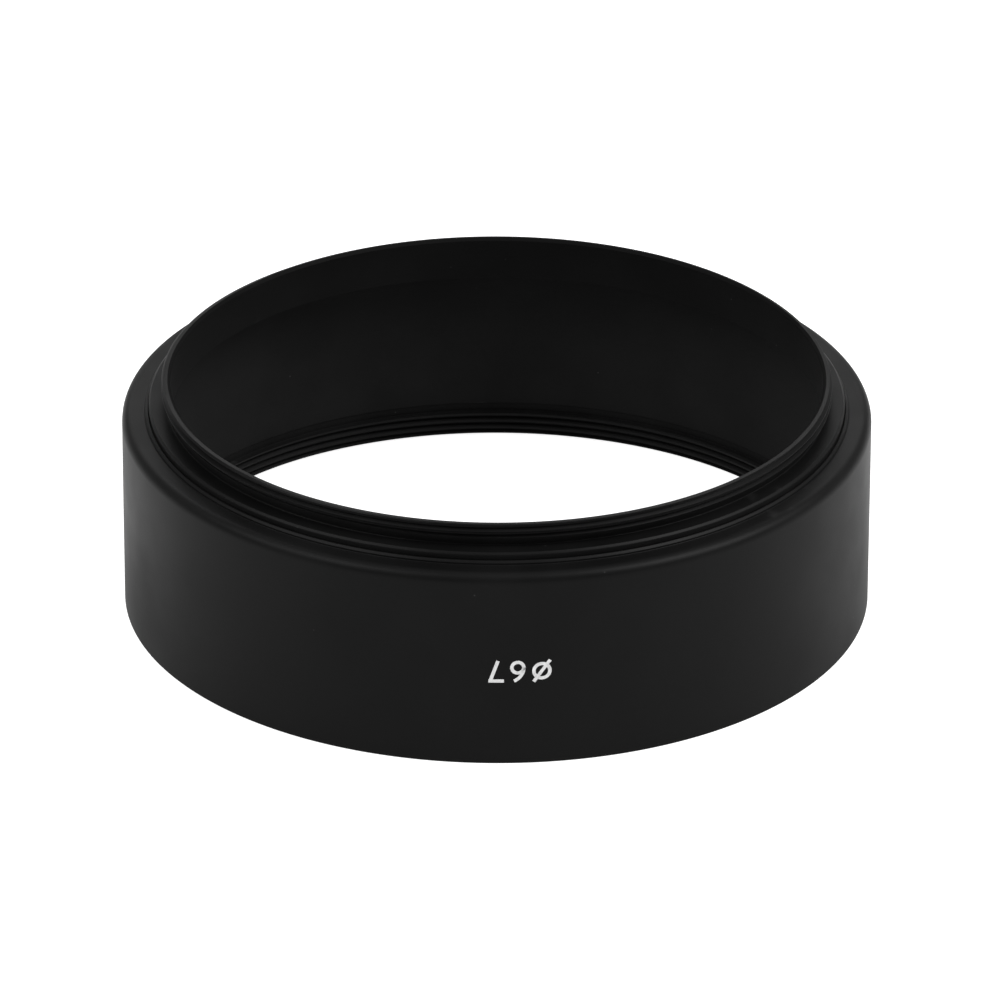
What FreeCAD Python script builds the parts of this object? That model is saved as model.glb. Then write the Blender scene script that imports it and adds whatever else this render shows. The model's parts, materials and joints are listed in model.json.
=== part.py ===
import FreeCAD, Part
import math
import os
import re

import Sketcher
from FreeCAD import Placement, Rotation, Vector

# A screw-in metal lens hood, in millimetres.
# It stands on its front rim. The origin is that rim's centre, and +Z is the optical axis, towards the lens.
# It has two turned aluminium pieces, a barrel and the mount ring pressed into its neck, and a painted mark.

DIMENSIONS = {
    # the barrel: a straight wall, a flat shoulder with a round edge, and a low lip on it
    "hood_height": 24.0,
    "barrel_radius": 37.5,
    "barrel_wall": 1.3,
    "edge_break": 0.1,
    "web_underside": 19.6,
    "web_corner_radius": 0.3,
    "shoulder_height": 20.5,
    "shoulder_edge_radius": 1.0,
    "lip_radius": 35.2,
    "lip_height": 20.9,
    "lip_chamfer": 0.2,
    # the seat that the mount ring sits in, with a hairline gap round its flange
    "seat_height": 20.3,
    "seat_gap": 0.05,
    "spigot_radius": 34.0,
    # the mount ring
    "ring_bore_radius": 32.6,
    "ring_bore_chamfer": 0.3,
    "flange_radius": 34.8,
    "flange_height": 21.6,
    "flange_chamfer": 0.2,
    "neck_radius": 33.0,
    "neck_top": 22.6,
    # two metric fine threads: M67 outside on the mount ring, M72 inside the barrel's mouth
    "thread_pitch": 0.75,
    "lens_thread_radius": 33.5,
    "lens_thread_chamfer": 0.2,
    "lens_thread_start": 24.58,
    "front_thread_radius": 36.0,
    "front_thread_start": -1.15,
    "mouth_radius": 36.1,
    "relief_radius": 36.35,
    "relief_bottom": 2.55,
    "relief_top": 3.45,
    "thread_runout": 0.44,
    "cutter_overrun": 0.15,
    # the size mark, engraved and filled with paint
    "mark_height": 10.1,
    "mark_depth": 0.12,
    "stroke_width": 0.34,
    "digit_height": 2.35,
    "digit_width": 1.5,
    "digit_spacing": 2.1,
    "six_stem_radius": 1.75,
    "sign_radius": 0.95,
    "sign_slash": 2.8,
    "sign_spacing": 2.35,
}

# The basic metric thread: its depth and its two root flats as shares of the pitch.
DEPTH_SHARE = 0.54127
OUTER_ROOT_FLAT = 0.25
INNER_ROOT_FLAT = 0.125

# The tangent of 30 degrees: half the threads' 60 degree angle, and the slope of the mouth's countersink.
SLOPE = 0.57735

THREAD_DEPTH = f"thread_pitch * {DEPTH_SHARE}"
INNER_CREST = f"(front_thread_radius - {THREAD_DEPTH})"
INNER_WALL = "(barrel_radius - barrel_wall)"
SEAT_RADIUS = "(flange_radius + seat_gap)"

# The diameter sign's slash, in degrees from level.
SIGN_ANGLE = 55

# Two lengths nearer than this, in millimetres, are the same.
TOLERANCE = 1e-6


def make_sheet(doc):
    """The driving dimensions, one alias per row."""
    sheet = doc.addObject("Spreadsheet::Sheet", "dims")
    for row, (alias, value) in enumerate(DIMENSIONS.items(), start=1):
        sheet.set(f"A{row}", alias)
        sheet.set(f"B{row}", str(value))
        sheet.setAlias(f"B{row}", alias)
    doc.recompute()
    return sheet


def on_sheet(formula):
    """A formula of aliases, such as "barrel_radius - barrel_wall", as an expression on the sheet."""
    return re.sub(r"[a-z_]{2,}", r"dims.\g<0>", formula)


def bind(obj, prop, formula):
    obj.setExpression(prop, on_sheet(formula))


def amount(doc, formula):
    """A formula's value in millimetres."""
    return float(doc.dims.evalExpression(on_sheet(formula)))


def half_section(body, name, corners):
    """A closed sketch on the body's XZ plane, through corners given as (radius, height) formulas."""
    sketch = body.newObject("Sketcher::SketchObject", name)
    plane = next(item for item in body.Origin.OriginFeatures if item.Role == "XZ_Plane")
    sketch.AttachmentSupport = (plane, [""])
    sketch.MapMode = "FlatFace"
    places = [Vector(amount(body.Document, r), amount(body.Document, z), 0) for r, z in corners]
    after = places[1:] + places[:1]
    for start, end in zip(places, after):
        sketch.addGeometry(Part.LineSegment(start, end), False)
    for line, (radius, height) in enumerate(corners):
        sketch.addConstraint(Sketcher.Constraint("Coincident", line, 2, (line + 1) % len(corners), 1))
        place = places[line]
        for kind, formula, value in (("DistanceX", radius, place.x), ("DistanceY", height, place.y)):
            number = sketch.addConstraint(Sketcher.Constraint(kind, -1, 1, line, 1, value))
            bind(sketch, f"Constraints[{number}]", formula)
    return sketch


def turn(body, name, corners):
    """Revolve a half section about the Z axis."""
    section = half_section(body, f"{name}_section", corners)
    turned = body.newObject("PartDesign::Revolution", name)
    turned.Profile = section
    turned.ReferenceAxis = (section, ["V_Axis"])
    turned.Angle = 360
    body.Document.recompute()
    return turned


def circular_edge(feature, radius, height):
    """The name of the feature's circular edge of this radius, centred on the Z axis at this height."""
    for number, edge in enumerate(feature.Shape.Edges, start=1):
        curve = edge.Curve
        if not isinstance(curve, Part.Circle):
            continue
        if math.dist((curve.Radius, curve.Center.z), (radius, height)) < TOLERANCE:
            return f"Edge{number}"
    raise RuntimeError(f"{feature.Name} has no circular edge of radius {radius} at height {height}")


def round_edge(body, name, corner, radius):
    """Fillet the edge that one corner of the section sweeps."""
    base = body.Tip
    where = [amount(body.Document, formula) for formula in corner]
    fillet = body.newObject("PartDesign::Fillet", name)
    fillet.Base = (base, [circular_edge(base, *where)])
    bind(fillet, "Radius", radius)
    body.Document.recompute()


def cut_thread(body, name, crest, root, root_flat, start, end):
    """Cut a right-hand thread groove from the start height, past the open end, into the thread's relief.

    The groove's section has a flat root and 60 degree flanks. It reaches past the crest into open space:
    outwards on an outside thread, and inwards on an inside one.
    """
    before = body.Shape.Volume
    downwards = amount(body.Document, start) > amount(body.Document, end)
    side = "+" if amount(body.Document, crest) > amount(body.Document, root) else "-"
    narrow = f"thread_pitch * {root_flat} / 2"
    wide = f"({narrow} + ({THREAD_DEPTH} + cutter_overrun) * {SLOPE})"
    corners = (
        (root, f"{start} - {narrow}"),
        (f"{crest} {side} cutter_overrun", f"{start} - {wide}"),
        (f"{crest} {side} cutter_overrun", f"{start} + {wide}"),
        (root, f"{start} + {narrow}"),
    )
    section = half_section(body, f"{name}_section", corners)
    groove = body.newObject("PartDesign::SubtractiveHelix", name)
    groove.Profile = section
    groove.ReferenceAxis = (section, ["V_Axis"])
    groove.Mode = "pitch-height-angle"
    groove.Angle = 0
    groove.LeftHanded = False
    groove.Reversed = downwards
    bind(groove, "Pitch", "thread_pitch")
    bind(groove, "Height", f"{start} - ({end})" if downwards else f"{end} - ({start})")
    body.Document.recompute()
    if before - groove.Shape.Volume < 1:
        raise RuntimeError(f"{name} cuts no groove")


def make_mount_ring(doc):
    """The ring that screws into the lens: thread, relief neck, flange and spigot, from the top down."""
    body = doc.addObject("PartDesign::Body", "mount_ring")
    turn(
        body,
        "ring_turned",
        (
            ("ring_bore_radius", "web_underside"),
            ("ring_bore_radius", "hood_height - ring_bore_chamfer"),
            ("ring_bore_radius + ring_bore_chamfer", "hood_height"),
            ("lens_thread_radius - lens_thread_chamfer", "hood_height"),
            ("lens_thread_radius", "hood_height - lens_thread_chamfer"),
            ("lens_thread_radius", "neck_top"),
            ("neck_radius", "neck_top"),
            ("neck_radius", "flange_height"),
            ("flange_radius - flange_chamfer", "flange_height"),
            ("flange_radius", "flange_height - flange_chamfer"),
            ("flange_radius", "seat_height"),
            ("spigot_radius", "seat_height"),
            ("spigot_radius", "web_underside"),
        ),
    )
    cut_thread(
        body,
        "lens_thread",
        crest="lens_thread_radius",
        root=f"lens_thread_radius - {THREAD_DEPTH}",
        root_flat=OUTER_ROOT_FLAT,
        start="lens_thread_start",
        end="neck_top - thread_runout",
    )
    return body


def make_barrel_body(doc):
    """The barrel without its engraving: wall, shoulder, lip, ring seat, inner wall, relief and mouth."""
    body = doc.addObject("PartDesign::Body", "barrel_body")
    turn(
        body,
        "barrel_turned",
        (
            ("barrel_radius - edge_break", "0"),
            ("barrel_radius", "edge_break"),
            ("barrel_radius", "shoulder_height"),
            ("lip_radius", "shoulder_height"),
            ("lip_radius", "lip_height - lip_chamfer"),
            ("lip_radius - lip_chamfer", "lip_height"),
            (SEAT_RADIUS, "lip_height"),
            (SEAT_RADIUS, "seat_height"),
            ("spigot_radius", "seat_height"),
            ("spigot_radius", "web_underside"),
            (INNER_WALL, "web_underside"),
            (INNER_WALL, "relief_top"),
            ("relief_radius", "relief_top"),
            ("relief_radius", "relief_bottom"),
            (INNER_CREST, "relief_bottom"),
            (INNER_CREST, f"(mouth_radius - {INNER_CREST}) * {SLOPE}"),
            ("mouth_radius", "0"),
        ),
    )
    round_edge(body, "shoulder_edge", ("barrel_radius", "shoulder_height"), "shoulder_edge_radius")
    round_edge(body, "web_corner", (INNER_WALL, "web_underside"), "web_corner_radius")
    cut_thread(
        body,
        "front_thread",
        crest=INNER_CREST,
        root="front_thread_radius",
        root_flat=INNER_ROOT_FLAT,
        start="front_thread_start",
        end="relief_bottom + thread_runout",
    )
    return body


def cylinder(doc, name, radius, height, angle=360):
    """A cylinder, or a sector of one, whose radius and height are formulas."""
    solid = doc.addObject("Part::Cylinder", name)
    bind(solid, "Radius", radius)
    bind(solid, "Height", height)
    solid.Angle = angle
    return solid


def combine(doc, kind, name, first, second):
    """A Part::Cut or Part::Common of two objects."""
    result = doc.addObject(kind, name)
    result.Base = first
    result.Tool = second
    return result


def arc_stroke(doc, name, radius, centre, angle=360, first_angle=0):
    """A ring, or part of one, of the stroke's width. The radius is its outer one."""
    outer = cylinder(doc, f"{name}_outer", radius, "barrel_radius", angle)
    inner = cylinder(doc, f"{name}_inner", f"{radius} - stroke_width", "barrel_radius", angle)
    for solid in (outer, inner):
        solid.Placement = Placement(Vector(*centre, 0), Rotation(Vector(0, 0, 1), first_angle))
    return combine(doc, "Part::Cut", name, outer, inner)


def straight_stroke(doc, name, start, end):
    """A bar of the stroke's width round the line between two points."""
    width = amount(doc, "stroke_width")
    along = Vector(*end, 0) - Vector(*start, 0)
    turned = Rotation(Vector(1, 0, 0), along)
    bar = doc.addObject("Part::Box", name)
    bar.Length = along.Length
    bind(bar, "Width", "stroke_width")
    bind(bar, "Height", "barrel_radius")
    bar.Placement = Placement(Vector(*start, 0) - turned.multVec(Vector(0, width / 2, 0)), turned)
    return bar


def diameter_sign(doc, x):
    """A ring with a slash across it."""
    reach = amount(doc, "sign_slash / 2")
    angle = math.radians(SIGN_ANGLE)
    dx, dy = reach * math.cos(angle), reach * math.sin(angle)
    return [
        arc_stroke(doc, "sign_ring", "sign_radius", (x, 0)),
        straight_stroke(doc, "sign_bar", (x - dx, -dy), (x + dx, dy)),
    ]


def digit_six(doc, x):
    """A round bowl, and a stem that leaves its left side and bends over to the digit's full height."""
    half_height = amount(doc, "digit_height / 2")
    bowl = amount(doc, "digit_width / 2")
    stem = amount(doc, "six_stem_radius")
    bowl_height = bowl - half_height
    sweep = math.degrees(math.asin((half_height - bowl_height) / stem))
    stem_centre = (x - bowl + stem, bowl_height)
    return [
        arc_stroke(doc, "six_bowl", "digit_width / 2", (x, bowl_height)),
        arc_stroke(doc, "six_stem", "six_stem_radius", stem_centre, sweep, 180 - sweep),
    ]


def digit_seven(doc, x):
    """A level bar, and a leaning leg from its right end."""
    half_height = amount(doc, "digit_height / 2")
    half_width = amount(doc, "digit_width / 2")
    half_stroke = amount(doc, "stroke_width / 2")
    bar_height = half_height - half_stroke
    left_end, right_end = (x - half_width, bar_height), (x + half_width, bar_height)
    leg_top, leg_foot = (right_end[0] - half_stroke, bar_height), (x - half_stroke, -half_height)
    return [
        straight_stroke(doc, "seven_bar", left_end, right_end),
        straight_stroke(doc, "seven_leg", leg_top, leg_foot),
    ]


def make_size_mark(doc):
    """The paint in the engraved mark: a thin skin of the barrel's wall, under strokes that face -Y.

    The mark reads upright when the hood's front faces up, so it is upside down here.
    """
    spacing = amount(doc, "digit_spacing")
    middle = (spacing - amount(doc, "sign_spacing")) / 2
    strokes = [
        *diameter_sign(doc, -amount(doc, "sign_spacing") - middle),
        *digit_six(doc, -middle),
        *digit_seven(doc, spacing - middle),
    ]
    mark = doc.addObject("Part::MultiFuse", "mark_strokes")
    mark.Shapes = strokes
    facing = Rotation(Vector(-1, 0, 0), Vector(0, 0, -1), Vector(0, -1, 0), "ZXY")
    mark.Placement = Placement(Vector(0, -1, amount(doc, "mark_height")), facing)
    wall = cylinder(doc, "mark_wall", "barrel_radius", "hood_height")
    core = cylinder(doc, "mark_core", "barrel_radius - mark_depth", "hood_height")
    skin = combine(doc, "Part::Cut", "mark_skin", wall, core)
    return combine(doc, "Part::Common", "size_mark", mark, skin)


def check(doc, pieces):
    """Stop at an object that failed, or a piece that isn't valid solids of some volume."""
    for obj in doc.Objects:
        if {"Invalid", "Error"} & set(obj.State):
            raise RuntimeError(f"{obj.Name} failed: {obj.State}")
    for piece in pieces:
        shape = piece.Shape
        if shape.isNull() or not shape.isValid() or not shape.Solids:
            raise RuntimeError(f"{piece.Label} is not a valid solid")
        print(f"{piece.Label}: {len(shape.Solids)} solids, {shape.Volume:.1f} mm3")


def main():
    doc = FreeCAD.newDocument("lens_hood")
    make_sheet(doc)
    mount_ring = make_mount_ring(doc)
    size_mark = make_size_mark(doc)
    barrel = combine(doc, "Part::Cut", "barrel", make_barrel_body(doc), size_mark)
    pieces = [barrel, mount_ring, size_mark]
    doc.recompute()
    check(doc, pieces)
    os.makedirs("parts", exist_ok=True)
    for piece in pieces:
        piece.Shape.exportStep(os.path.join("parts", f"{piece.Label}.step"))


main()
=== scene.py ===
import json
import math

import bmesh
import bpy
import numpy as np
from mathutils import Matrix, Quaternion, Vector


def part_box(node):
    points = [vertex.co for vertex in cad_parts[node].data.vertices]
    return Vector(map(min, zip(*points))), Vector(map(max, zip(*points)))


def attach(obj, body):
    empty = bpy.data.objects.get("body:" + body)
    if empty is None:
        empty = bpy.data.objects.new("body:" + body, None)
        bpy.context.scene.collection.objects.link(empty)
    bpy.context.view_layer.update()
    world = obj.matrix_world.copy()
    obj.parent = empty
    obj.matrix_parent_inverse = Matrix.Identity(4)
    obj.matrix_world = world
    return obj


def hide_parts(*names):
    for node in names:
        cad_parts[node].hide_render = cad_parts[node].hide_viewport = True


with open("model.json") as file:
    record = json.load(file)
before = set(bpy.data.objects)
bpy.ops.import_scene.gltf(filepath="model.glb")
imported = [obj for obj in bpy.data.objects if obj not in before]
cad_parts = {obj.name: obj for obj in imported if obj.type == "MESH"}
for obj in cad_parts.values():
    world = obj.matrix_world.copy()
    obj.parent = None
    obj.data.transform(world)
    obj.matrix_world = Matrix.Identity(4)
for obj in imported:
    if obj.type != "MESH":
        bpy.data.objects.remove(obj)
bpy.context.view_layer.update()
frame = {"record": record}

MM = 0.001

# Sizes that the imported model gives, in millimetres.
MOUNTS = {mount["name"]: mount for mount in frame["record"]["mounts"]}
RING_LOW, RING_HIGH = (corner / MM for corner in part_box("mount_ring"))
BARREL_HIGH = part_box("barrel")[1] / MM
MARK_LOW, MARK_HIGH = (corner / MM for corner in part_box("size_mark"))
HOOD_HEIGHT = RING_HIGH.z
WEB_UNDERSIDE = RING_LOW.z
FLANGE_RADIUS = RING_HIGH.x
BARREL_RADIUS = BARREL_HIGH.y
LIP_HEIGHT = BARREL_HIGH.z
LENS_CREST = MOUNTS["lens_thread"]["dims"]["r_mm"]
FRONT_CREST = MOUNTS["front_thread"]["dims"]["r_mm"]

# The mount ring's other sizes, in millimetres.
BORE_RADIUS = 32.6
BORE_CHAMFER = 0.3
NECK_RADIUS = 33.0
NECK_TOP = 22.6
FLANGE_HEIGHT = 21.6
FLANGE_CHAMFER = 0.2
SEAT_HEIGHT = 20.3
SPIGOT_RADIUS = 34.0

# The barrel's other sizes, in millimetres.
EDGE_BREAK = 0.1
SHOULDER_HEIGHT = 20.5
SHOULDER_ROUND = 1.0
LIP_RADIUS = 35.2
LIP_CHAMFER = 0.2
SEAT_RADIUS = FLANGE_RADIUS + 0.05
WALL_RADIUS = 36.2
WEB_ROUND = 0.3
RELIEF_RADIUS = 36.35
RELIEF_BOTTOM = 2.55
RELIEF_TOP = 3.45
MOUTH_RADIUS = 36.1
MOUTH_SLOPE = math.tan(math.radians(30))

# The two threads: metric fine and right-handed, with the height of a groove at +X.
# The flats at a thread's major and minor radius are shares of the pitch.
PITCH = 0.75
THREAD_DEPTH = 0.54127 * PITCH
MAJOR_FLAT = 0.125
MINOR_FLAT = 0.25
LENS_GROOVE = 24.58
LENS_CHAMFER = 0.2
FRONT_GROOVE = -1.15

# The small radii that soften the edges and corners, in millimetres.
CREST_ROUND = 0.02
FINE_ROUND = 0.04
EDGE_ROUND = 0.05
CORNER_ROUND = 0.08
BORE_ROUND = 0.1

# The size mark's strokes, in millimetres: a diameter sign, a six and a seven.
STROKE = 0.34
MARK_PROUD = 0.015
MARK_SINK = 0.1
DIGIT_HEIGHT = 2.35
DIGIT_WIDTH = 1.5
DIGIT_SPACING = 2.1
SIGN_SPACING = 2.35
SIGN_RADIUS = 0.95
SIGN_REACH = 1.4
SIGN_ANGLE = math.radians(55)
STEM_RADIUS = 1.75

# How finely the meshes are divided: steps round a turned piece and along a small arc, and
# lengths in millimetres.
SEGMENTS = 360
ARC_STEPS = 3
ARC_STEPS_PER_MM = 8
EDGE_MARGIN = 0.15
THREAD_STEP = 0.06
STROKE_STEP = 0.1

# Edges sharper than this stay sharp, and vertices nearer than this, in metres, are merged.
SHARP_ANGLE = math.radians(35)
MERGE_DISTANCE = 1e-7

# The sizes, in metres, of the black finish's clouds, grain, turning marks, worn patches and dust.
CLOUD_SIZE = 0.009
GRAIN_SIZE = 0.00022
TURNING_SIZE = 0.00035
WEAR_SIZE = 0.0012
DUST_SPACING = 0.0014

# How bright its worn edges are, against the rest of it, and how bright its dust is.
WEAR_SHARE = 5
DUST_LEVEL = 0.05

# The turning marks run a little aslant: a place's X moves them by this share of itself.
TURNING_DRIFT = 0.004

# Up to this height, in metres, the finish gets duller, with this much more roughness at the foot.
FOOT_HEIGHT = 0.016
FOOT_DULLNESS = 0.1

# The floor's width, and how far it lies under the foot so that the two faces don't coincide,
# both in metres.
FLOOR_SIZE = 12
FLOOR_GAP = 0.00002

# The camera looks at the origin from here, in metres. Its lens is in millimetres.
CAMERA_AZIMUTH = math.radians(-3.4)
CAMERA_ELEVATION = math.radians(26.95)
CAMERA_DISTANCE = 0.951
CAMERA_ROLL = math.radians(0.13)
CAMERA_LENS = 338.8
SENSOR_WIDTH = 36
CAMERA_SHIFT = (0.00365, 0.08942)


def arc_points(start, corner, end, radius, steps):
    """The arc of this radius that rounds the corner between two neighbours."""
    to_start = (start - corner).normalized()
    to_end = (end - corner).normalized()
    half = to_start.angle(to_end) / 2
    centre = corner + (to_start + to_end).normalized() * (radius / math.sin(half))
    first = corner + to_start * (radius / math.tan(half)) - centre
    last = corner + to_end * (radius / math.tan(half)) - centre
    turn = math.atan2(first.x * last.y - first.y * last.x, first.dot(last))
    points = []
    for k in range(steps + 1):
        points.append(tuple(centre + Matrix.Rotation(turn * k / steps, 2) @ first))
    return points


def with_margins(points):
    """Add a point just inside both ends of each long run, which keeps an edge's wear near it."""
    result = [points[0]]
    for start, end in zip(points, points[1:]):
        length = math.dist(start, end)
        if length > 4 * EDGE_MARGIN:
            for share in (EDGE_MARGIN / length, 1 - EDGE_MARGIN / length):
                result.append(tuple(Vector(start).lerp(Vector(end), share)))
        result.append(end)
    return result


def rounded(corners):
    """The polyline through (x, y, radius) corners, rounded where an inner one's radius isn't 0."""
    points = []
    for i, (x, y, radius) in enumerate(corners):
        if radius and 0 < i < len(corners) - 1:
            start, corner, end = (Vector(corners[k][:2]) for k in (i - 1, i, i + 1))
            steps = max(ARC_STEPS, math.ceil(radius * ARC_STEPS_PER_MM))
            points.extend(arc_points(start, corner, end, radius, steps))
        else:
            points.append((x, y))
    return with_margins(points)


def thread_section(crest, root, crest_flat, root_flat):
    """One pitch of a thread's surface as (height, radius) rows, with the groove in the middle."""
    half_crest = crest_flat * PITCH / 2
    half_root = root_flat * PITCH / 2
    middle = PITCH / 2
    corners = (
        (0, crest, 0),
        (half_crest, crest, CREST_ROUND),
        (middle - half_root, root, FINE_ROUND),
        (middle + half_root, root, FINE_ROUND),
        (PITCH - half_crest, crest, CREST_ROUND),
        (PITCH, crest, 0),
    )
    points = rounded(corners)
    rows = [points[0]]
    for start, end in zip(points, points[1:]):
        pieces = math.ceil(math.dist(start, end) / THREAD_STEP)
        rows.extend(np.linspace(start, end, pieces + 1)[1:])
    return np.array(rows)


def climb(groove_start, angle):
    """The height where the thread's section starts at this angle, half a pitch under its groove."""
    return groove_start - PITCH / 2 + PITCH * angle / (2 * math.pi)


def thread_radius(section, groove_start, limit):
    """radius(angle, heights) of a right-hand thread whose groove passes groove_start at angle 0."""

    def radius(angle, heights):
        phase = np.mod(heights - climb(groove_start, angle), PITCH)
        return limit(np.interp(phase, section[:, 0], section[:, 1]), heights)

    return radius


def thread_rows(section, groove_start, radius, low, high):
    """rows(angle) that follow the thread's helix between two heights.

    The turns reach past both ends, where their rows are clipped to the end's own height.
    """
    first_turn = math.floor((low - groove_start) / PITCH) - 1
    last_turn = first_turn + math.ceil((high - low) / PITCH) + 3
    turns = range(first_turn, last_turn + 1)
    rises = np.concatenate([section[:-1, 0] + turn * PITCH for turn in turns])

    def rows(angle):
        heights = np.clip(climb(groove_start, angle) + rises, low, high)
        return np.column_stack([radius(angle, heights), heights])

    return rows


def finish_mesh(bm, name, materials, node):
    """Close the mesh's seams and make it the piece that stands for this CAD node."""
    bmesh.ops.remove_doubles(bm, verts=bm.verts, dist=MERGE_DISTANCE)
    bmesh.ops.dissolve_degenerate(bm, edges=bm.edges, dist=MERGE_DISTANCE)
    bmesh.ops.recalc_face_normals(bm, faces=bm.faces)
    if any(len(edge.link_faces) != 2 for edge in bm.edges):
        raise RuntimeError(f"{name} isn't a closed mesh")
    mesh = bpy.data.meshes.new(name)
    bm.to_mesh(mesh)
    bm.free()
    for material in materials:
        mesh.materials.append(material)
    mesh.shade_smooth()
    mesh.set_sharp_from_angle(angle=SHARP_ANGLE)
    piece = bpy.data.objects.new(name, mesh)
    bpy.context.scene.collection.objects.link(piece)
    weighted = piece.modifiers.new("weighted_normals", "WEIGHTED_NORMAL")
    weighted.keep_sharp = True
    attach(piece, "root")
    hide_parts(node)


class TurnedMesh:
    """A turned piece, made of strips that meet at their end rows."""

    def __init__(self, name, materials):
        self.name = name
        self.materials = materials
        self.bm = bmesh.new()

    def strip(self, rows, material=0):
        """Sweep the (radius, height) rows, in millimetres, that rows(angle) gives."""
        last = []
        for angle in np.linspace(0, 2 * math.pi, SEGMENTS + 1):
            c, s = math.cos(angle) * MM, math.sin(angle) * MM
            ring = [self.bm.verts.new((r * c, r * s, z * MM)) for r, z in rows(angle)]
            for corners in zip(last, last[1:], ring[1:], ring):
                self.bm.faces.new(corners).material_index = material
            last = ring

    def finish(self, node):
        finish_mesh(self.bm, self.name, self.materials, node)


def build_mount_ring(outside, inside):
    """The ring that screws into the lens, with its bore in a second finish."""
    section = thread_section(LENS_CREST, LENS_CREST - THREAD_DEPTH, MAJOR_FLAT, MINOR_FLAT)
    cone = LENS_CREST - LENS_CHAMFER + HOOD_HEIGHT

    def limit(radii, heights):
        return np.minimum(radii, cone - heights)

    radius = thread_radius(section, LENS_GROOVE, limit)
    outer = rounded(
        (
            (NECK_RADIUS, NECK_TOP, 0),
            (NECK_RADIUS, FLANGE_HEIGHT, CORNER_ROUND),
            (FLANGE_RADIUS - FLANGE_CHAMFER, FLANGE_HEIGHT, EDGE_ROUND),
            (FLANGE_RADIUS, FLANGE_HEIGHT - FLANGE_CHAMFER, EDGE_ROUND),
            (FLANGE_RADIUS, SEAT_HEIGHT, EDGE_ROUND),
            (SPIGOT_RADIUS, SEAT_HEIGHT, EDGE_ROUND),
            (SPIGOT_RADIUS, WEB_UNDERSIDE, 0),
        )
    )
    rim = (BORE_RADIUS + BORE_CHAMFER, HOOD_HEIGHT)
    bore = rounded(
        (
            (SPIGOT_RADIUS, WEB_UNDERSIDE, 0),
            (BORE_RADIUS, WEB_UNDERSIDE, 0),
            (BORE_RADIUS, HOOD_HEIGHT - BORE_CHAMFER, BORE_ROUND),
            (*rim, 0),
        )
    )

    def outer_rows(angle):
        return [(radius(angle, NECK_TOP), NECK_TOP), *outer]

    def rim_rows(angle):
        return [rim, (radius(angle, HOOD_HEIGHT), HOOD_HEIGHT)]

    ring = TurnedMesh("mount_ring_turned", [outside, inside])
    ring.strip(outer_rows)
    ring.strip(lambda angle: bore, 1)
    ring.strip(rim_rows)
    ring.strip(thread_rows(section, LENS_GROOVE, radius, NECK_TOP, HOOD_HEIGHT))
    ring.finish("mount_ring")


def build_barrel(outside, inside):
    """The barrel, with its inner wall in a second finish."""
    section = thread_section(FRONT_CREST, FRONT_CREST + THREAD_DEPTH, MINOR_FLAT, MAJOR_FLAT)

    def limit(radii, heights):
        return np.maximum(radii, MOUTH_RADIUS - heights / MOUTH_SLOPE)

    radius = thread_radius(section, FRONT_GROOVE, limit)
    outer = rounded(
        (
            (MOUTH_RADIUS, 0, 0),
            (BARREL_RADIUS - EDGE_BREAK, 0, FINE_ROUND),
            (BARREL_RADIUS, EDGE_BREAK, FINE_ROUND),
            (BARREL_RADIUS, SHOULDER_HEIGHT, SHOULDER_ROUND),
            (LIP_RADIUS, SHOULDER_HEIGHT, CORNER_ROUND),
            (LIP_RADIUS, LIP_HEIGHT - LIP_CHAMFER, FINE_ROUND),
            (LIP_RADIUS - LIP_CHAMFER, LIP_HEIGHT, FINE_ROUND),
            (SEAT_RADIUS, LIP_HEIGHT, EDGE_ROUND),
            (SEAT_RADIUS, SEAT_HEIGHT, 0),
            (SPIGOT_RADIUS, SEAT_HEIGHT, 0),
            (SPIGOT_RADIUS, WEB_UNDERSIDE, 0),
        )
    )
    inner = rounded(
        (
            (SPIGOT_RADIUS, WEB_UNDERSIDE, 0),
            (WALL_RADIUS, WEB_UNDERSIDE, WEB_ROUND),
            (WALL_RADIUS, RELIEF_TOP, EDGE_ROUND),
            (RELIEF_RADIUS, RELIEF_TOP, EDGE_ROUND),
            (RELIEF_RADIUS, RELIEF_BOTTOM, EDGE_ROUND),
            (FRONT_CREST + THREAD_DEPTH, RELIEF_BOTTOM, 0),
        )
    )

    def inner_rows(angle):
        return [*inner, (radius(angle, RELIEF_BOTTOM), RELIEF_BOTTOM)]

    barrel = TurnedMesh("barrel_turned", [outside, inside])
    barrel.strip(lambda angle: outer)
    barrel.strip(inner_rows, 1)
    barrel.strip(thread_rows(section, FRONT_GROOVE, radius, 0, RELIEF_BOTTOM))
    barrel.finish("barrel")


def arc_line(centre, radius, start, end):
    """Points along an arc between two angles, in the mark's own plane."""
    count = math.ceil(abs(end - start) * radius / STROKE_STEP)
    angles = np.linspace(start, end, count + 1)
    return [(centre[0] + radius * math.cos(a), centre[1] + radius * math.sin(a)) for a in angles]


def straight_line(start, end):
    """Points along a straight line, in the mark's own plane."""
    count = math.ceil(math.dist(start, end) / STROKE_STEP)
    return [tuple(point) for point in np.linspace(start, end, count + 1)]


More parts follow.
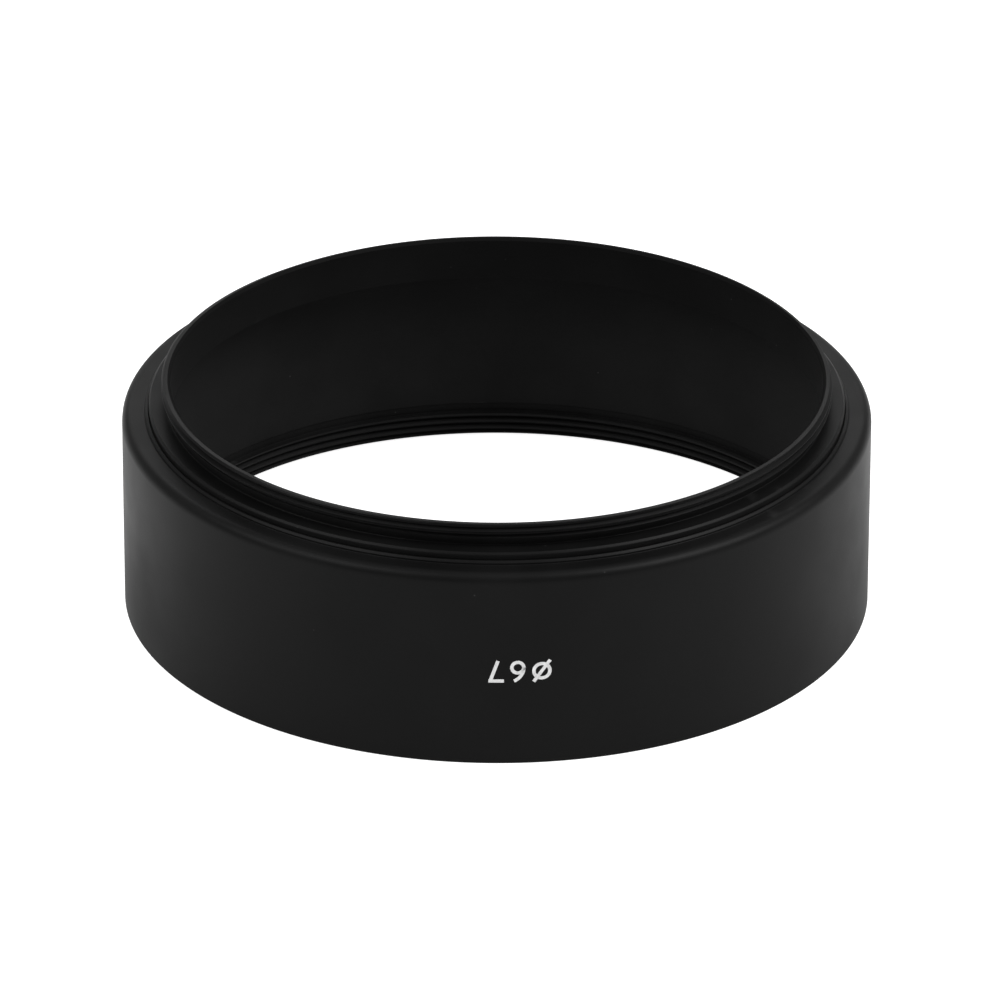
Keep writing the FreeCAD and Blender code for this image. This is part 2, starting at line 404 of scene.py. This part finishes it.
def mark_lines():
    """The middle lines of the mark's strokes, as it reads when upright."""
    middle = (DIGIT_SPACING - SIGN_SPACING) / 2
    sign_x, six_x, seven_x = -SIGN_SPACING - middle, -middle, DIGIT_SPACING - middle
    half_height, half_width, half_stroke = DIGIT_HEIGHT / 2, DIGIT_WIDTH / 2, STROKE / 2
    dx, dy = SIGN_REACH * math.cos(SIGN_ANGLE), SIGN_REACH * math.sin(SIGN_ANGLE)
    bowl_y = half_width - half_height
    stem_x = six_x - half_width + STEM_RADIUS
    sweep = math.asin((half_height - bowl_y) / STEM_RADIUS)
    bar_y = half_height - half_stroke
    left_end, right_end = (seven_x - half_width, bar_y), (seven_x + half_width, bar_y)
    leg_top, leg_foot = (right_end[0] - half_stroke, bar_y), (seven_x - half_stroke, -half_height)
    return [
        arc_line((sign_x, 0), SIGN_RADIUS - half_stroke, 0, 2 * math.pi),
        straight_line((sign_x - dx, -dy), (sign_x + dx, dy)),
        arc_line((six_x, bowl_y), half_width - half_stroke, 0, 2 * math.pi),
        arc_line((stem_x, bowl_y), STEM_RADIUS - half_stroke, math.pi - sweep, math.pi),
        straight_line(left_end, right_end),
        straight_line(leg_top, leg_foot),
    ]


def build_mark(material):
    """The size mark's strokes as thin curved bars, upright when the hood's front faces up."""
    middle_height = (MARK_LOW.z + MARK_HIGH.z) / 2
    top, foot = BARREL_RADIUS + MARK_PROUD, BARREL_RADIUS - MARK_SINK
    bm = bmesh.new()

    def vertex(x, y, radius):
        return bm.verts.new((-x * MM, -math.sqrt(radius**2 - x**2) * MM, (middle_height - y) * MM))

    for line in mark_lines():
        points = np.array(line)
        along = np.gradient(points, axis=0)
        closed = math.dist(line[0], line[-1]) < MERGE_DISTANCE
        if closed:
            along[0] = along[-1] = along[0] + along[-1]
        aside = np.column_stack([-along[:, 1], along[:, 0]])
        aside *= STROKE / 2 / np.linalg.norm(aside, axis=1)[:, None]
        last = None
        for left, right in zip(points + aside, points - aside):
            corners = ((left, top), (right, top), (right, foot), (left, foot))
            ring = [vertex(*place, radius) for place, radius in corners]
            if last is None:
                first = ring
            else:
                for k in range(4):
                    bm.faces.new((last[k - 1], last[k], ring[k], ring[k - 1]))
            last = ring
        if not closed:
            bm.faces.new(first)
            bm.faces.new(last)
    finish_mesh(bm, "size_mark_paint", [material], "size_mark")


class Material:
    """A Principled material, with helpers that build its nodes."""

    def __init__(self, name):
        self.data = bpy.data.materials.new(name)
        self.data.use_nodes = True
        self.tree = self.data.node_tree
        self.shader = self.tree.nodes["Principled BSDF"]
        self.place = self.node("ShaderNodeTexCoord").outputs["Object"]

    def node(self, kind, sockets=None, **settings):
        """Add a node with these settings, and link or set its sockets."""
        node = self.tree.nodes.new(kind)
        for name, value in settings.items():
            setattr(node, name, value)
        for name, value in (sockets or {}).items():
            self.put(node, name, value)
        return node

    def put(self, node, name, value):
        """Link a socket to an output, or set it to a value."""
        if isinstance(value, bpy.types.NodeSocket):
            self.tree.links.new(value, node.inputs[name])
        else:
            node.inputs[name].default_value = value

    def noise(self, vector, size, detail=2.0):
        """A noise of this feature size, in metres."""
        sockets = {"Vector": vector, "Scale": 1 / size, "Detail": detail}
        return self.node("ShaderNodeTexNoise", sockets).outputs["Fac"]

    def spread(self, value, low, high, to_low, to_high):
        """Map a value from one range onto another, and clamp it there."""
        names = ("Value", "From Min", "From Max", "To Min", "To Max")
        sockets = dict(zip(names, (value, low, high, to_low, to_high)))
        return self.node("ShaderNodeMapRange", sockets).outputs["Result"]

    def combine(self, operation, first, second):
        return self.node("ShaderNodeMath", {0: first, 1: second}, operation=operation).outputs[0]

    def times(self, first, second):
        return self.combine("MULTIPLY", first, second)

    def plus(self, first, second):
        return self.combine("ADD", first, second)

    def parts(self, vector):
        """The X, Y and Z outputs of a vector."""
        return self.node("ShaderNodeSeparateXYZ", {"Vector": vector}).outputs

    def blend(self, factor, first, second):
        """Mix two colours, either of them a grey level or an output.

        A Mix node has sockets A and B for each type of data, and 6 and 7 are the colours.
        """
        sockets = {"Factor": factor, 6: grey(first), 7: grey(second)}
        return self.node("ShaderNodeMix", sockets, data_type="RGBA").outputs[2]

    def turning(self):
        """A place on the lathe's profile, almost the same all the way round."""
        x, y, z = self.parts(self.place)
        squares = self.plus(self.times(x, x), self.times(y, y))
        sockets = {
            "X": self.combine("POWER", squares, 0.5),
            "Y": self.times(x, TURNING_DRIFT),
            "Z": z,
        }
        return self.node("ShaderNodeCombineXYZ", sockets).outputs["Vector"]

    def bump(self, height, depth, under=None):
        """Raise the surface by up to this depth, in metres, over another bump."""
        sockets = {"Height": height, "Distance": depth}
        if under:
            sockets["Normal"] = under
        return self.node("ShaderNodeBump", sockets).outputs["Normal"]

    def shade(self, **sockets):
        """Set the shader's sockets, named with underscores for their spaces."""
        for name, value in sockets.items():
            self.put(self.shader, name.replace("_", " "), value)


def grey(value):
    """A grey level as a colour. An output stays as it is."""
    if isinstance(value, bpy.types.NodeSocket):
        return value
    return (value, value, value, 1)


def anodised(name, level, gloss, roughness, grain, marks):
    """Black anodised aluminium, worn at its sharp edges, a little dusty, and duller at its foot.

    The grain and the turning marks are heights, in metres.
    """
    m = Material(name)
    clouds = m.noise(m.place, CLOUD_SIZE, 3)
    metal = m.blend(m.spread(clouds, 0.3, 0.7, 0, 1), level * 0.8, level * 1.25)

    sharpness = m.node("ShaderNodeNewGeometry").outputs["Pointiness"]
    edges = m.spread(sharpness, 0.54, 0.66, 0, 0.4)
    patches = m.spread(m.noise(m.place, WEAR_SIZE, 3), 0.4, 0.65, 0, 1)
    metal = m.blend(m.times(edges, patches), metal, level * WEAR_SHARE)

    cells = m.node("ShaderNodeTexVoronoi", {"Vector": m.place, "Scale": 1 / DUST_SPACING}).outputs
    lot = m.parts(cells["Color"])["X"]
    chosen = m.spread(lot, 0.9, 0.91, 0, 0.5)
    specks = m.spread(cells["Distance"], 0.03, 0.07, 1, 0)
    metal = m.blend(m.times(specks, chosen), metal, DUST_LEVEL)

    rough = m.spread(clouds, 0.25, 0.75, roughness - 0.05, roughness + 0.06)
    dull = m.spread(m.parts(m.place)["Z"], 0, FOOT_HEIGHT, FOOT_DULLNESS, 0)
    turned = m.bump(m.noise(m.turning(), TURNING_SIZE), marks)
    m.shade(
        Base_Color=metal,
        Roughness=m.plus(rough, dull),
        Specular_IOR_Level=gloss,
        Normal=m.bump(m.noise(m.place, GRAIN_SIZE, 3), grain, turned),
    )
    return m.data


def paint(name):
    """Matt paint that fills an engraving, a little uneven."""
    m = Material(name)
    relief = m.noise(m.place, 0.0004, 3)
    uneven = m.spread(relief, 0.3, 0.7, 0, 1)
    m.shade(
        Base_Color=m.blend(uneven, 0.44, 0.62),
        Roughness=m.spread(uneven, 0, 1, 0.55, 0.7),
        Specular_IOR_Level=0.3,
        Normal=m.bump(relief, 0.00001),
    )
    return m.data


def aim_at_origin(location):
    """The turn that points a light or a camera from here at the origin."""
    return (-Vector(location)).to_track_quat("-Z", "Y")


def area_light(name, location, size, power):
    """A rectangular light that faces the origin. Lengths are in metres and the power in watts."""
    data = bpy.data.lights.new(name, "AREA")
    data.shape = "RECTANGLE"
    data.size, data.size_y = size
    data.energy = power
    light = bpy.data.objects.new(name, data)
    light.location = location
    light.rotation_euler = aim_at_origin(location).to_euler()
    bpy.context.scene.collection.objects.link(light)


def build_floor():
    """A white floor that glows a little, so that it stays white in the shade."""
    bpy.ops.mesh.primitive_plane_add(size=FLOOR_SIZE, location=(0, 0, -FLOOR_GAP))
    floor = bpy.context.object
    floor.name = "floor"
    m = Material("floor_white")
    m.shade(
        Base_Color=grey(0.4),
        Roughness=0.8,
        Specular_IOR_Level=0.0,
        Emission_Color=grey(1),
        Emission_Strength=0.9,
    )
    floor.data.materials.append(m.data)


def build_camera():
    data = bpy.data.cameras.new("camera")
    data.lens = CAMERA_LENS
    data.sensor_width = SENSOR_WIDTH
    data.shift_x, data.shift_y = CAMERA_SHIFT
    data.clip_start = 0.01
    camera = bpy.data.objects.new("camera", data)
    level = CAMERA_DISTANCE * math.cos(CAMERA_ELEVATION)
    camera.location = (
        level * math.sin(CAMERA_AZIMUTH),
        -level * math.cos(CAMERA_AZIMUTH),
        CAMERA_DISTANCE * math.sin(CAMERA_ELEVATION),
    )
    roll = Quaternion((0, 0, 1), CAMERA_ROLL)
    camera.rotation_euler = (aim_at_origin(camera.location) @ roll).to_euler()
    bpy.context.scene.collection.objects.link(camera)
    bpy.context.scene.camera = camera


def build_world(strength):
    """An even white surround."""
    world = bpy.data.worlds.new("studio")
    world.use_nodes = True
    background = world.node_tree.nodes["Background"]
    background.inputs["Color"].default_value = grey(1)
    background.inputs["Strength"].default_value = strength
    bpy.context.scene.world = world


def build_studio():
    """A bright floor, a broad light overhead, one on each side and a weak one behind."""
    build_floor()
    build_camera()
    build_world(0.45)
    area_light("top_light", (0, 0, 1.2), (1.2, 1.2), 2)
    area_light("left_light", (-0.7, -0.2, 0.85), (0.6, 0.6), 7.8)
    area_light("right_light", (0.7, -0.2, 0.85), (0.6, 0.6), 14)
    area_light("back_light", (0, 1, 0.52), (0.8, 0.4), 1.8)
    bpy.context.scene.view_settings.view_transform = "Standard"


def main():
    smooth = {"grain": 5e-6, "marks": 2e-6}
    coarse = {"grain": 8e-6, "marks": 4e-6}
    outside = anodised("black_anodised", level=0.003, gloss=0.066, roughness=0.45, **smooth)
    inside = anodised("black_matte", level=0.0056, gloss=0.033, roughness=0.6, **coarse)
    bore = anodised("bore_matte", level=0.0033, gloss=0.027, roughness=0.6, **coarse)
    build_mount_ring(outside, bore)
    build_barrel(outside, inside)
    build_mark(paint("white_paint"))
    build_studio()


main()
